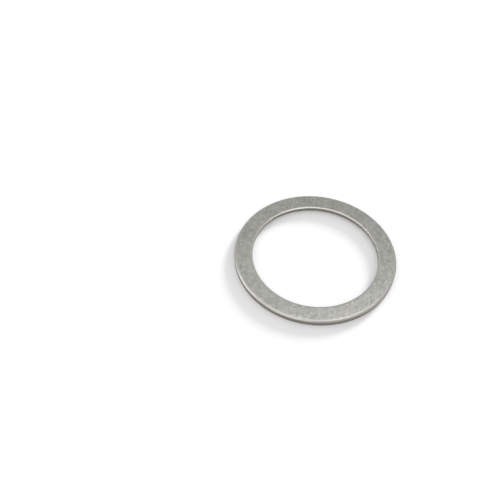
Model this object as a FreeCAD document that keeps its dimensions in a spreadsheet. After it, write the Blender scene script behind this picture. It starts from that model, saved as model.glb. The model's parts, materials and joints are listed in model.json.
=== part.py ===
import FreeCAD, Part
import math
import os

import Sketcher

# Flat metal sealing washer for a drain plug, one stamped and tumbled piece.
# Frame: Z is the bore's axis, the rest face is Z = 0 and the rolled face is on top.
# Lengths are in millimetres.

NODE = "washer"

# Driving dimensions: name, value, what it is
SIZES = [
    ("thread_diameter", 20.0, "drain plug's thread, which passes through the bore"),
    ("thread_clearance", 0.10, "gap all round between that thread and the bore's wall"),
    ("ring_width", 2.90, "from the bore's sheared wall to the outer one"),
    ("thickness", 1.0, "between the two flat faces"),
    ("rim_roll_width", 0.50, "how far the outer die roll reaches in over the face"),
    ("rim_roll_depth", 0.20, "how far the outer die roll drops before the wall"),
    ("rim_land_height", 0.42, "straight sheared band of the outer wall"),
    ("rim_tear_setback", 0.04, "how far the torn foot of the outer wall steps back"),
    ("bore_roll_width", 0.36, "how far the bore's die roll reaches out over the face"),
    ("bore_roll_depth", 0.12, "how far the bore's die roll drops before the wall"),
    ("bore_land_height", 0.40, "straight sheared band of the bore's wall"),
    ("bore_tear_setback", 0.28, "how far the torn foot of the bore's wall steps back"),
    ("shoulder_radius", 0.10, "tumbled rounding where a die roll meets its wall"),
    ("foot_radius", 0.08, "tumbled rounding of the two deburred edges below"),
]

START, END = 1, 2          # the two ends of a sketch element
ORIGIN = (-1, 1)           # the sketch's own origin point
BASE_LINE = -1             # the sketch's horizontal axis
NEAR = 1e-4                # how close two equal lengths come out


def add_sheet(doc):
    sheet = doc.addObject("Spreadsheet::Sheet", "sizes")
    for row, (alias, value, meaning) in enumerate(SIZES, start=1):
        sheet.set("A%d" % row, alias)
        sheet.set("B%d" % row, str(value))
        sheet.set("C%d" % row, meaning)
        sheet.setAlias("B%d" % row, alias)
    doc.recompute()
    return sheet


def origin_feature(body, role):
    return next(item for item in body.Origin.OriginFeatures if item.Role == role)


def line(start, end):
    return Part.LineSegment(FreeCAD.Vector(*start, 0), FreeCAD.Vector(*end, 0))


def roll_arc(across, face_height, width, depth, outwards):
    # An arc that leaves the face level and drops by depth over width.
    radius = (width ** 2 + depth ** 2) / (2 * depth)
    level = math.pi / 2
    lower = math.asin((radius - depth) / radius)
    first, last = (lower, level) if outwards else (level, math.pi - lower)
    centre = FreeCAD.Vector(across, face_height - radius, 0)
    circle = Part.Circle(centre, FreeCAD.Vector(0, 0, 1), radius)
    return Part.ArcOfCircle(circle, first, last)


def wall_radii(sheet):
    bore = sheet.thread_diameter / 2 + sheet.thread_clearance
    return bore, bore + sheet.ring_width


def section_outline(sheet):
    # Half the ring's cross-section, anticlockwise from the foot of the bore:
    # across is the distance from the axis, up is the height above the rest face.
    bore, rim = wall_radii(sheet)
    top = sheet.thickness
    rim_shoulder = top - sheet.rim_roll_depth
    rim_tear = rim_shoulder - sheet.rim_land_height
    bore_shoulder = top - sheet.bore_roll_depth
    bore_tear = bore_shoulder - sheet.bore_land_height
    rim_foot = (rim - sheet.rim_tear_setback, 0)
    bore_foot = (bore + sheet.bore_tear_setback, 0)
    face_outer = rim - sheet.rim_roll_width
    face_inner = bore + sheet.bore_roll_width
    return [
        line(bore_foot, rim_foot),
        line(rim_foot, (rim, rim_tear)),
        line((rim, rim_tear), (rim, rim_shoulder)),
        roll_arc(face_outer, top, sheet.rim_roll_width, sheet.rim_roll_depth, True),
        line((face_outer, top), (face_inner, top)),
        roll_arc(face_inner, top, sheet.bore_roll_width, sheet.bore_roll_depth, False),
        line((bore, bore_shoulder), (bore, bore_tear)),
        line((bore, bore_tear), bore_foot),
    ]


def end_position(outline, point):
    side, end = point
    if point == ORIGIN:
        return FreeCAD.Vector(0, 0, 0)
    return outline[side].StartPoint if end == START else outline[side].EndPoint


def add_section(body, sheet):
    sketch = body.newObject("Sketcher::SketchObject", "ring_section")
    sketch.AttachmentSupport = (origin_feature(body, "XZ_Plane"), [""])
    sketch.MapMode = "FlatFace"
    outline = section_outline(sheet)
    sides = sketch.addGeometry(outline, False)
    foot, _, rim_land, rim_roll, face, bore_roll, bore_land, _ = sides

    level_joints = [(rim_roll, face), (face, bore_roll)]
    for pair in zip(sides, sides[1:] + sides[:1]):
        kind = "Tangent" if pair in level_joints else "Coincident"
        sketch.addConstraint(Sketcher.Constraint(kind, pair[0], END, pair[1], START))
    sketch.addConstraint(Sketcher.Constraint("PointOnObject", foot, START, BASE_LINE))
    for flat in (foot, face):
        sketch.addConstraint(Sketcher.Constraint("Horizontal", flat))
    for upright in (rim_land, bore_land):
        sketch.addConstraint(Sketcher.Constraint("Vertical", upright))

    def bind(kind, first, second, formula):
        step = end_position(outline, second) - end_position(outline, first)
        gap = step.x if kind == "DistanceX" else step.y
        index = sketch.addConstraint(Sketcher.Constraint(kind, *first, *second, gap))
        sketch.setExpression("Constraints[%d]" % index, formula)

    bind("DistanceX", ORIGIN, (bore_land, START), "sizes.thread_diameter / 2 + sizes.thread_clearance")
    bind("DistanceX", (bore_land, START), (rim_land, END), "sizes.ring_width")
    bind("DistanceY", ORIGIN, (face, START), "sizes.thickness")
    bind("DistanceX", (face, START), (rim_land, END), "sizes.rim_roll_width")
    bind("DistanceY", (rim_land, END), (face, START), "sizes.rim_roll_depth")
    bind("DistanceY", (rim_land, START), (rim_land, END), "sizes.rim_land_height")
    bind("DistanceX", (foot, END), (rim_land, START), "sizes.rim_tear_setback")
    bind("DistanceX", (bore_land, START), (face, END), "sizes.bore_roll_width")
    bind("DistanceY", (bore_land, START), (face, END), "sizes.bore_roll_depth")
    bind("DistanceY", (bore_land, END), (bore_land, START), "sizes.bore_land_height")
    bind("DistanceX", (bore_land, END), (foot, START), "sizes.bore_tear_setback")
    return sketch


def add_ring(body, sketch):
    ring = body.newObject("PartDesign::Revolution", "stamped_ring")
    ring.Profile = sketch
    ring.ReferenceAxis = (sketch, ["V_Axis"])
    ring.Angle = 360
    sketch.Visibility = False
    return ring


def round_edges_at(shape, places):
    # Names of the circular edges about the Z axis at the given (radius, height) places.
    names = []
    for number, edge in enumerate(shape.Edges, start=1):
        if not isinstance(edge.Curve, Part.Circle):
            continue
        found = (edge.Curve.Radius, edge.Curve.Center.z)
        if any(math.dist(found, place) < NEAR for place in places):
            names.append("Edge%d" % number)
    if len(names) != len(places):
        raise RuntimeError("the edges to round were not all found: %s" % names)
    return names


def add_rounding(body, base, name, places, formula):
    rounding = body.newObject("PartDesign::Fillet", name)
    rounding.Base = (base, round_edges_at(base.Shape, places))
    rounding.setExpression("Radius", formula)
    return rounding


def add_washer(doc, sheet):
    body = doc.addObject("PartDesign::Body", NODE)
    body.Label = NODE
    body.Placement = FreeCAD.Placement()
    ring = add_ring(body, add_section(body, sheet))
    doc.recompute()

    bore, rim = wall_radii(sheet)
    shoulders = [
        (rim, sheet.thickness - sheet.rim_roll_depth),
        (bore, sheet.thickness - sheet.bore_roll_depth),
    ]
    worn = add_rounding(body, ring, "tumbled_shoulders", shoulders, "sizes.shoulder_radius")
    doc.recompute()

    feet = [(rim - sheet.rim_tear_setback, 0), (bore + sheet.bore_tear_setback, 0)]
    add_rounding(body, worn, "deburred_feet", feet, "sizes.foot_radius")
    doc.recompute()
    return body


def check(doc, body):
    for item in doc.Objects:
        if "Invalid" in item.State or "Error" in item.State:
            raise RuntimeError("%s did not build: %s" % (item.Name, item.State))
    shape = body.Shape
    if shape.isNull() or not shape.isValid() or len(shape.Solids) != 1:
        raise RuntimeError("%s is not one valid solid" % body.Label)


def main():
    doc = FreeCAD.newDocument("drain_plug_washer")
    sheet = add_sheet(doc)
    washer = add_washer(doc, sheet)
    check(doc, washer)
    os.makedirs("parts", exist_ok=True)
    washer.Shape.exportStep("parts/%s.step" % washer.Label)
    box = washer.Shape.optimalBoundingBox(False)
    print("%s: %.3f x %.3f x %.3f mm, %.2f mm3" % (
        washer.Label, box.XLength, box.YLength, box.ZLength, washer.Shape.Volume))


main()
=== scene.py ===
import json
import math

import bpy
import numpy as np
from mathutils import Matrix, Vector


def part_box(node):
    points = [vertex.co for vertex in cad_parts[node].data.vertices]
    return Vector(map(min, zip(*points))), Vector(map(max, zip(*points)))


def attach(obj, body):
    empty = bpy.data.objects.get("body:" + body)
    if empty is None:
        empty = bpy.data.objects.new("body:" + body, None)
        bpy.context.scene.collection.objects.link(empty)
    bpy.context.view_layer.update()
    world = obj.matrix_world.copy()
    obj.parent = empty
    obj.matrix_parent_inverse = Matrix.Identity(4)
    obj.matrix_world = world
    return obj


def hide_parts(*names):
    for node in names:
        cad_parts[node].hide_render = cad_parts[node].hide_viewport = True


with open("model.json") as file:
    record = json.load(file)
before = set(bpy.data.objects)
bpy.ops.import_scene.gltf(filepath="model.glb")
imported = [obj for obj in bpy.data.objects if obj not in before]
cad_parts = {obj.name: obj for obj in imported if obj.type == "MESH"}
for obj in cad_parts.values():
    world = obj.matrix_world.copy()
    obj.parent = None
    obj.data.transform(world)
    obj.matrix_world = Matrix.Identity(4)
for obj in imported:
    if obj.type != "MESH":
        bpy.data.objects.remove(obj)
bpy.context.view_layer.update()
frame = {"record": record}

# Drain plug washer: one aluminium ring, stamped from strip, then tumbled.
# It lies on a white card under soft studio light.
# Lengths are in millimetres up to the mesh, which is in metres, as the camera and the studio are.

mm = 0.001
low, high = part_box("washer")
boreMount = next(mount for mount in frame["record"]["mounts"] if mount["name"] == "bore")
rimRadius = (high.x - low.x) / 2 / mm
boreRadius = boreMount["dims"]["r_mm"]
thickness = high.z / mm

# The Mix node's sockets go by number: its amount, two numbers, two colours, and the colour it gives
mixAmount, mixNumbers, mixColours, mixedColour = 0, (2, 3), (6, 7), 2


def linearColour(hexText):
    # sRGB hex to linear: c / 12.92 when dark, else ((c + 0.055) / 1.055) ^ 2.4
    values = [int(hexText[i:i + 2], 16) / 255 for i in (1, 3, 5)]
    return [v / 12.92 if v <= 0.04045 else ((v + 0.055) / 1.055) ** 2.4 for v in values] + [1]


def addNode(tree, kind, links=(), **settings):
    # links: (input name or number, value or the socket that feeds it); settings: the node's own
    node = tree.nodes.new(kind)
    for name, value in settings.items():
        setattr(node, name, value)
    for place, source in links:
        if isinstance(source, bpy.types.NodeSocket):
            tree.links.new(source, node.inputs[place])
        else:
            node.inputs[place].default_value = source
    return node


# The ring's section

washer = dict(
    rollWidth=(0.36, 0.50),        # die roll over the face: at the bore, at the rim
    rollDepth=(0.12, 0.20),        # its drop before the wall
    landHeight=(0.40, 0.42),       # straight sheared band
    tearSetback=(0.28, 0.04),      # torn foot, stepped back from the band
    shoulderRadius=0.10,           # tumbled rounding between roll and wall
    footRadius=0.08,               # tumbled rounding below
    roundSteps=840,                # steps round the ring
    faceSteps=26,                  # steps across each flat face
    edgeSteps=(10, 6, 5, 6, 5),    # steps on the roll, shoulder, band, torn slope and foot
    seed=20,
)


def arc(centre, radius, fromDeg, toDeg, steps):
    # centre + radius * (cos a, sin a), with a running from the first angle to just short of the last
    a = np.radians(np.linspace(fromDeg, toDeg, steps, endpoint=False))
    return np.stack([centre[0] + radius * np.cos(a), centre[1] + radius * np.sin(a)], 1)


def straight(start, end, steps):
    # start + t * (end - start), with t from 0 to just short of 1
    t = np.linspace(0, 1, steps, endpoint=False)[:, None]
    return np.array(start) * (1 - t) + np.array(end) * t


def sideOutline(rollWidth, rollDepth, landHeight, setback):
    # One edge of the section, as (distance beyond the wall, height), from face to underside: the die
    # roll's arc, the shoulder's arc inside it, the straight band, the torn slope, the foot's arc.
    # The shoulder's circle touches the wall line and lies inside the roll's circle, so its centre is
    # (roll radius - shoulder radius) from the roll's centre. The foot's circle touches the torn slope
    # and the underside.
    rollSteps, shoulderSteps, landSteps, tearSteps, footSteps = washer["edgeSteps"]
    rollRadius = (rollWidth ** 2 + rollDepth ** 2) / (2 * rollDepth)
    shoulder = washer["shoulderRadius"]
    foot = washer["footRadius"]
    rollCentre = np.array([-rollWidth, thickness - rollRadius])
    aside = rollWidth - shoulder
    above = math.sqrt((rollRadius - shoulder) ** 2 - aside ** 2)
    shoulderCentre = rollCentre + (aside, above)
    meet = math.degrees(math.atan2(above, aside))
    tearTop = thickness - rollDepth - landHeight
    lean = math.atan2(setback, tearTop)
    footCentre = (-setback - foot * (1 - math.sin(lean)) / math.cos(lean), foot)
    footTop = (footCentre[0] + foot * math.cos(lean), foot * (1 - math.sin(lean)))
    return np.concatenate([
        arc(rollCentre, rollRadius, 90, meet, rollSteps),
        arc(shoulderCentre, shoulder, meet, 0, shoulderSteps),
        straight((0, shoulderCentre[1]), (0, tearTop), landSteps),
        straight((0, tearTop), footTop, tearSteps),
        arc(footCentre, foot, -math.degrees(lean), -90, footSteps),
        [(footCentre[0], 0)],
    ])


def ringSection():
    # Closed outline of (radius, height): face outwards, rim down, underside inwards, bore up
    bore, rim = (sideOutline(*sizes) for sizes in zip(
        washer["rollWidth"], washer["rollDepth"], washer["landHeight"], washer["tearSetback"]))
    rim = rim + (rimRadius, 0)
    bore = bore * (-1, 1) + (boreRadius, 0)
    face = straight(bore[0], rim[0], washer["faceSteps"])[1:]
    under = straight(rim[-1], bore[-1], washer["faceSteps"])[1:]
    return np.concatenate([face, rim, under, bore[::-1]])


def outlineNormals(outline):
    # The outward normal is the step between both neighbours, turned a quarter to the outside
    step = np.roll(outline, -1, 0) - np.roll(outline, 1, 0)
    normal = np.stack([-step[:, 1], step[:, 0]], 1)
    return normal / np.linalg.norm(normal, axis=1)[:, None]


# Zones of the section, told by how far the normal points aside and up, from 0 to 1

zones = dict(
    shoulderUp=(0.2, 0.9),         # between these lie the shoulders, which are rubbed and nicked
    tornAside=0.7,                 # above this are the torn rows, below the straight bands
    wallAside=(0.80, 0.98),        # where the walls' look starts and is full
    rollAside=(0.10, 0.40),        # where the rolls' look starts and is full,
    rollUp=(0.35, 0.65),           # and the same for the upward part
)


def ramp(value, start, full):
    # 0 up to the start, 1 from full on, and straight between
    return np.clip((value - start) / (full - start), 0, 1)


def tornRows(outline, normal):
    # Rows of the two walls below their straight bands
    boreTop, rimTop = (thickness - depth - land for depth, land in zip(
        washer["rollDepth"], washer["landHeight"]))
    atBore = outline[:, 0] < (boreRadius + rimRadius) / 2
    below = outline[:, 1] < np.where(atBore, boreTop, rimTop)
    return (np.abs(normal[:, 0]) > zones["tornAside"]) & below


def smoothField(rng, shape, width):
    # Random heights from 0 to 1, blurred by a bell curve of the given widths, in grid steps.
    # It is done in the frequencies, so the field closes on itself both ways.
    waves = np.fft.fft2(rng.standard_normal(shape))
    rows = np.fft.fftfreq(shape[0])[:, None] * width[0]
    columns = np.fft.fftfreq(shape[1])[None, :] * width[1]
    field = np.fft.ifft2(waves * np.exp(-2 * (math.pi ** 2) * (rows ** 2 + columns ** 2))).real
    field -= field.min()
    return field / field.max()


# Wear from tumbling, in millimetres of lost metal

wear = dict(
    # Uneven fields: depth, and the blur round the ring and along the section, in grid steps
    peel=(0.010, (5, 3)),              # shallow unevenness all over
    tornRough=(0.022, (1.5, 1)),       # ragged torn foot
    rubbed=(0.030, (30, 12)),          # uneven rubbing of the shoulders, over a few millimetres
    # Single marks: how many, least and most radius, depth
    dents=(260, 0.10, 0.30, 0.014),
    nicks=(46, 0.10, 0.26, 0.035),     # on the shoulders only
    leastShare=0.3,                    # the shallowest mark has this share of its depth
)


def lostMetal(outline, normal, turn):
    # Depth below the stamped shape at every grid point: fields for the peel, the torn rows and the
    # rubbed shoulders, and bell-shaped dents, depth * exp(-(distance / radius)^2), measured along
    # the surface.
    rng = np.random.default_rng(washer["seed"])
    shape = (len(turn), len(outline))
    upward = normal[:, 1]
    shoulder = (upward > zones["shoulderUp"][0]) & (upward < zones["shoulderUp"][1])
    lost = np.zeros(shape)
    for field, rows in (("peel", 1), ("tornRough", tornRows(outline, normal)),
                        ("rubbed", shoulder * np.sin(math.pi * upward))):
        depth, blur = wear[field]
        lost += depth * rows * smoothField(rng, shape, blur)
    walk = np.concatenate([[0], np.cumsum(np.linalg.norm(np.diff(outline, axis=0), axis=1))])
    for rows, (count, least, most, depth) in (
            (np.arange(len(outline)), wear["dents"]), (np.flatnonzero(shoulder), wear["nicks"])):
        for row, spot, size, share in zip(
                rng.choice(rows, count), rng.uniform(0, 2 * math.pi, count),
                rng.uniform(least, most, count), rng.uniform(wear["leastShare"], 1, count)):
            away = (turn - spot + math.pi) % (2 * math.pi) - math.pi
            near = np.exp(-((away * outline[row, 0] / size) ** 2))[:, None]
            beside = np.exp(-(((walk - walk[row]) / size) ** 2))[None, :]
            lost += depth * share * near * beside
    return lost


def ringMesh(name):
    # Point(turn, walk) = ((r - n_r * lost) cos turn, (r - n_r * lost) sin turn, h - n_h * lost),
    # where (r, h) is the section's point, and (n_r, n_h) its normal
    outline = ringSection()
    normal = outlineNormals(outline)
    turn = np.linspace(0, 2 * math.pi, washer["roundSteps"], endpoint=False)
    lost = lostMetal(outline, normal, turn)
    radius = outline[None, :, 0] - normal[None, :, 0] * lost
    height = outline[None, :, 1] - normal[None, :, 1] * lost
    points = np.stack([radius * np.cos(turn)[:, None], radius * np.sin(turn)[:, None], height], 2)
    rows, columns = radius.shape
    grid = np.arange(rows * columns).reshape(rows, columns)
    onward = np.roll(grid, -1, 0)
    quads = np.stack([grid, onward, np.roll(onward, -1, 1), np.roll(grid, -1, 1)], 2)
    mesh = bpy.data.meshes.new(name)
    mesh.from_pydata((points.reshape(-1, 3) * mm).tolist(), [], quads.reshape(-1, 4).tolist())
    mesh.shade_smooth()
    aside = np.abs(normal[:, 0])
    parts = dict(
        wall=ramp(aside, *zones["wallAside"]),
        torn=tornRows(outline, normal) * 1.0,
        roll=ramp(normal[:, 1], *zones["rollUp"]) * ramp(aside, *zones["rollAside"]),
    )
    for part, share in parts.items():   # one number at each point, which the material reads by name
        shade = mesh.attributes.new(part, "FLOAT", "POINT")
        shade.data.foreach_set("value", np.tile(share, rows).astype(np.float32))
    mesh.update()
    return mesh


# The metal

tumbledAluminium = dict(
    dark="#80807C", light="#ACACA7", warm="#9D9A94", pit="#6A6863", roll="#A3A19D",
    # land and torn, the walls' tones, are darker and browner than the face: in part the sheared metal's
    # own tone, in part painted shade. torn, at the foot, is set lighter than land, a painted lift
    # against the contact shade there.
    land="#8E8983", torn="#96918B",
    # For each pattern: millimetres between its spots, detail, stretch along X, Y and Z, turn about Z,
    # the noise at which it starts and is full, and how much of it shows. The grain, the lines and the
    # scratches are finer on real metal, and are drawn as coarse as they need to show.
    patterns=dict(
        mottle=(0.62, 4.0, (1, 1, 1), 0, 0.34, 0.66, 0.76),           # bruises from the stones
        grain=(0.24, 2.0, (1, 1, 1), 0, 0.38, 0.62, 0.88),            # their finest marks
        cloud=(4.5, 2.0, (1, 1, 1), 0, 0.42, 0.72, 0.30),             # patches of thin oxide
        rolling=(0.17, 2.0, (1, 0.05, 1), 8, 0.42, 0.66, 0.20),       # the strip's rolling lines
        pits=(0.60, 2.0, (1, 1, 1), 0, 0.70, 0.76, 0.65),
        scratches=(0.15, 1.0, (0.06, 1, 0.3), 35, 0.70, 0.76, 0.45),
        crossScratches=(0.17, 1.0, (0.06, 1, 0.3), -50, 0.71, 0.77, 0.40),
        shear=(0.11, 2.0, (1, 1, 0.12), 0, 0.35, 0.68, 0.5),          # upright marks on the walls
    ),
    mottleRoughness=(0.48, 0.44),  # beside the bruises, and on them
    rollRoughness=0.38,
    landRoughness=0.40,
    tornRoughness=0.58,
    mottleBumpMm=0.008,
    grainBumpMm=0.003,
)


def makeTumbledAluminium():
    # Soft aluminium, tumbled in stones: matte and silver grey, with a soft mottle of bruises, the
    # strip's faint rolling lines, a few dark pits and short scratches. The rolled edges are rubbed
    # lighter. The sheared walls are darker and browner, in part their own tone and in part painted
    # shade, and roughest at their torn foot.
    look = tumbledAluminium
    material = bpy.data.materials.new("tumbledAluminium")
    material.use_nodes = True
    tree = material.node_tree
    shader = tree.nodes["Principled BSDF"]
    shader.inputs["Metallic"].default_value = 1.0
    place = addNode(tree, "ShaderNodeTexCoord").outputs["Object"]

    amount = {}
    for name, (gap, detail, stretch, turnDeg, start, full, most) in look["patterns"].items():
        spread = addNode(tree, "ShaderNodeMapping", [
            ("Vector", place), ("Rotation", (0, 0, math.radians(turnDeg))),
            ("Scale", [along / (gap * mm) for along in stretch])])
        noise = addNode(tree, "ShaderNodeTexNoise", [
            ("Vector", spread.outputs["Vector"]), ("Scale", 1.0), ("Detail", detail)])
        amount[name] = addNode(tree, "ShaderNodeMapRange", [
            ("Value", noise.outputs["Fac"]), ("From Min", start), ("From Max", full),
            ("To Max", most)]).outputs["Result"]
    for name in ("roll", "wall", "torn"):
        amount[name] = addNode(tree, "ShaderNodeAttribute", attribute_name=name).outputs["Fac"]

    # Colour: each layer's tint covers the one before by that layer's amount
    faceLayers = (("mottle", "light"), ("grain", "dark"), ("rolling", "light"), ("cloud", "warm"),
                  ("pits", "pit"), ("scratches", "light"), ("crossScratches", "light"), ("roll", "roll"))
    wallLayers = (("shear", "torn"), ("torn", "torn"))
    under, over = mixColours
    covered = []
    for ground, layers in (("dark", faceLayers), ("land", wallLayers)):
        colour = linearColour(look[ground])
        for name, tint in layers:
            colour = addNode(tree, "ShaderNodeMix", [
                (mixAmount, amount[name]), (under, colour), (over, linearColour(look[tint]))],
                data_type="RGBA").outputs[mixedColour]
        covered.append(colour)
    faceColour, wallToneAndShade = covered
    # The walls' colour, darker than the face, is partly the metal's own tone and partly painted shade
    colour = addNode(tree, "ShaderNodeMix", [
        (mixAmount, amount["wall"]), (under, faceColour), (over, wallToneAndShade)],
        data_type="RGBA").outputs[mixedColour]
    tree.links.new(colour, shader.inputs["Base Color"])

    under, over = mixNumbers
    dull, bright = look["mottleRoughness"]
    rough = dull
    for name, value in (("mottle", bright), ("roll", look["rollRoughness"]),
                        ("wall", look["landRoughness"]), ("torn", look["tornRoughness"])):
        rough = addNode(tree, "ShaderNodeMix", [
            (mixAmount, amount[name]), (under, rough), (over, value)]).outputs[0]
    tree.links.new(rough, shader.inputs["Roughness"])

    bruised = addNode(tree, "ShaderNodeBump", [
        ("Distance", look["mottleBumpMm"] * mm), ("Height", amount["mottle"])])
    fine = addNode(tree, "ShaderNodeBump", [
        ("Distance", look["grainBumpMm"] * mm), ("Height", amount["grain"]),
        ("Normal", bruised.outputs["Normal"])])
    tree.links.new(fine.outputs["Normal"], shader.inputs["Normal"])
    return material


# Photograph's view: the ring's top face, as it lies in the 500 x 500 frame

photoView = dict(
    framePx=500,
    centrePx=(315.4, 254.7),       # middle of the top face
    rimPx=81.10,                   # outer radius
    elevationDeg=50.9,             # above the face
    rollDeg=3.2,                   # the ring's right side is lower
    distance=10.0,                 # camera to ring, in outer radii
    sensorMm=36.0,
    clip=(0.001, 10),              # nearest and farthest seen, in metres
)


def addCamera():
    # The camera's right, down and forward directions are the ring's axes tipped by the elevation
    # and turned by the roll. The middle of the face is then set at its pixel, at the distance.
    look = photoView
    tip, turn = math.radians(look["elevationDeg"]), math.radians(look["rollDeg"])
    right = Vector((1, 0, 0))
    down = Vector((0, -math.sin(tip), -math.cos(tip)))
    forward = Vector((0, math.cos(tip), -math.sin(tip)))
    right, down = (right * math.cos(turn) - down * math.sin(turn),
                   right * math.sin(turn) + down * math.cos(turn))
    focalPx = look["rimPx"] * look["distance"]
    away = look["distance"] * rimRadius * mm
    across, below = ((pixel - look["framePx"] / 2) / focalPx for pixel in look["centrePx"])
    face = Vector((0, 0, thickness * mm))
    place = face - away * (forward + across * right + below * down)
    data = bpy.data.cameras.new("photoCamera")
    data.sensor_width = look["sensorMm"]
    data.lens = focalPx / look["framePx"] * look["sensorMm"]
    data.clip_start, data.clip_end = look["clip"]
    camera = bpy.data.objects.new("photoCamera", data)
    turned = Matrix((right, -down, -forward)).transposed().to_4x4()
    camera.matrix_world = Matrix.Translation(place) @ turned
    bpy.context.scene.collection.objects.link(camera)
    bpy.context.scene.camera = camera


# Studio: card, sky and lamps, in metres

studio = dict(
    cardColour="#F3F3F3",
    cardGlow=0.12,                 # lifts the card to paper white where it is seen
    cardHalf=0.6,                  # from its middle to its edge
    cardDrop=0.00002,              # below the ring
    skyOnCard=0.75,                # the sky's strength where it only lights the card
    shadowStrength=3.6,
    shadowAngleDeg=14,             # the sun's width, which softens the shadow
    shadowFrom=(0.50, 0.72, 0.235),
    boxes=dict(                    # place, width and depth, watts
        overheadBox=((0.015, 0.0, 0.056), (0.03, 0.03), 0.0085),
        rightBox=((0.0273, 0.0099, 0.0502), (0.03, 0.03), 0.0028),
        rearLeftBox=((-0.0241, 0.0139, 0.0856), (0.04, 0.04), 0.0122),
        lowLeftBox=((-0.065, 0.0, 0.0375), (0.035, 0.035), 0.0097),
        frontLeftBox=((-0.0222, -0.0385, 0.0373), (0.03, 0.03), 0.0041),
    ),
)


def addSeen(tree):
    # 1 for what the camera sees, straight or mirrored or through glass, and 0 for light on a surface
    path = addNode(tree, "ShaderNodeLightPath")
    straightOrMirrored = addNode(tree, "ShaderNodeMath", [
        (0, path.outputs["Is Camera Ray"]), (1, path.outputs["Is Glossy Ray"])], operation="MAXIMUM")
    return addNode(tree, "ShaderNodeMath", [
        (0, straightOrMirrored.outputs[0]), (1, path.outputs["Is Transmission Ray"])],
        operation="MAXIMUM").outputs[0]


def makeMatteCard():
    # Matte card: plain white, lifted a little to the paper white of a studio sweep, keeps the shadow
    material = bpy.data.materials.new("matteWhiteCard")
    material.use_nodes = True
    tree = material.node_tree
    tree.nodes.remove(tree.nodes["Principled BSDF"])
    card = addNode(tree, "ShaderNodeBsdfDiffuse", [("Color", linearColour(studio["cardColour"]))])
    glow = addNode(tree, "ShaderNodeMath", [
        (0, addSeen(tree)), (1, studio["cardGlow"])], operation="MULTIPLY")
    lift = addNode(tree, "ShaderNodeEmission", [("Strength", glow.outputs[0])])
    both = addNode(tree, "ShaderNodeAddShader", [(0, card.outputs[0]), (1, lift.outputs[0])])
    tree.links.new(both.outputs[0], tree.nodes["Material Output"].inputs["Surface"])
    return material


def addCard():
    half, drop = studio["cardHalf"], studio["cardDrop"]
    corners = [(-half, -half, -drop), (half, -half, -drop), (half, half, -drop), (-half, half, -drop)]
    mesh = bpy.data.meshes.new("card")
    mesh.from_pydata(corners, [], [(0, 1, 2, 3)])
    mesh.materials.append(makeMatteCard())
    card = bpy.data.objects.new("card", mesh)
    bpy.context.scene.collection.objects.link(card)


def addSky():
    # White where it is seen or mirrored, and dimmer where it lights the card
    world = bpy.data.worlds.new("studioSky")
    bpy.context.scene.world = world
    world.use_nodes = True
    tree = world.node_tree
    dim, full = mixNumbers
    shown = addNode(tree, "ShaderNodeMix", [
        (mixAmount, addSeen(tree)), (dim, studio["skyOnCard"]), (full, 1.0)])
    tree.links.new(shown.outputs[0], tree.nodes["Background"].inputs["Strength"])
    tree.nodes["Background"].inputs["Color"].default_value = (1, 1, 1, 1)


def addLamp(name, kind, place, energy, **settings):
    data = bpy.data.lights.new(name, kind)
    data.energy = energy
    for key, value in settings.items():
        setattr(data, key, value)
    lamp = bpy.data.objects.new(name, data)
    lamp.location = place
    lamp.rotation_euler = Vector(place).to_track_quat("Z", "Y").to_euler()   # faces the ring
    bpy.context.scene.collection.objects.link(lamp)
    return lamp


def addLamps():
    for name, (place, (width, depth), watts) in studio["boxes"].items():
        box = addLamp(name, "AREA", place, watts, shape="RECTANGLE", size=width, size_y=depth)
        box.visible_diffuse = False    # the boxes only shine on the metal
    sun = addLamp("shadowLamp", "SUN", studio["shadowFrom"], studio["shadowStrength"],
                  angle=math.radians(studio["shadowAngleDeg"]))
    sun.visible_glossy = False         # it draws the shadow on the card, and no glare on the metal


def addWasher():
    ring = bpy.data.objects.new("washerRing", ringMesh("washerRing"))
    bpy.context.scene.collection.objects.link(ring)
    ring.data.materials.append(makeTumbledAluminium())
    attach(ring, "root")
    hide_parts("washer")
    triangles = sum(len(face.vertices) - 2 for face in ring.data.polygons)
    print("washer ring:", len(ring.data.vertices), "points,", triangles, "triangles")


addCamera()
print("camera set")
addWasher()
addCard()
addSky()
addLamps()
print("studio set")

bpy.context.scene.view_settings.view_transform = "Standard"
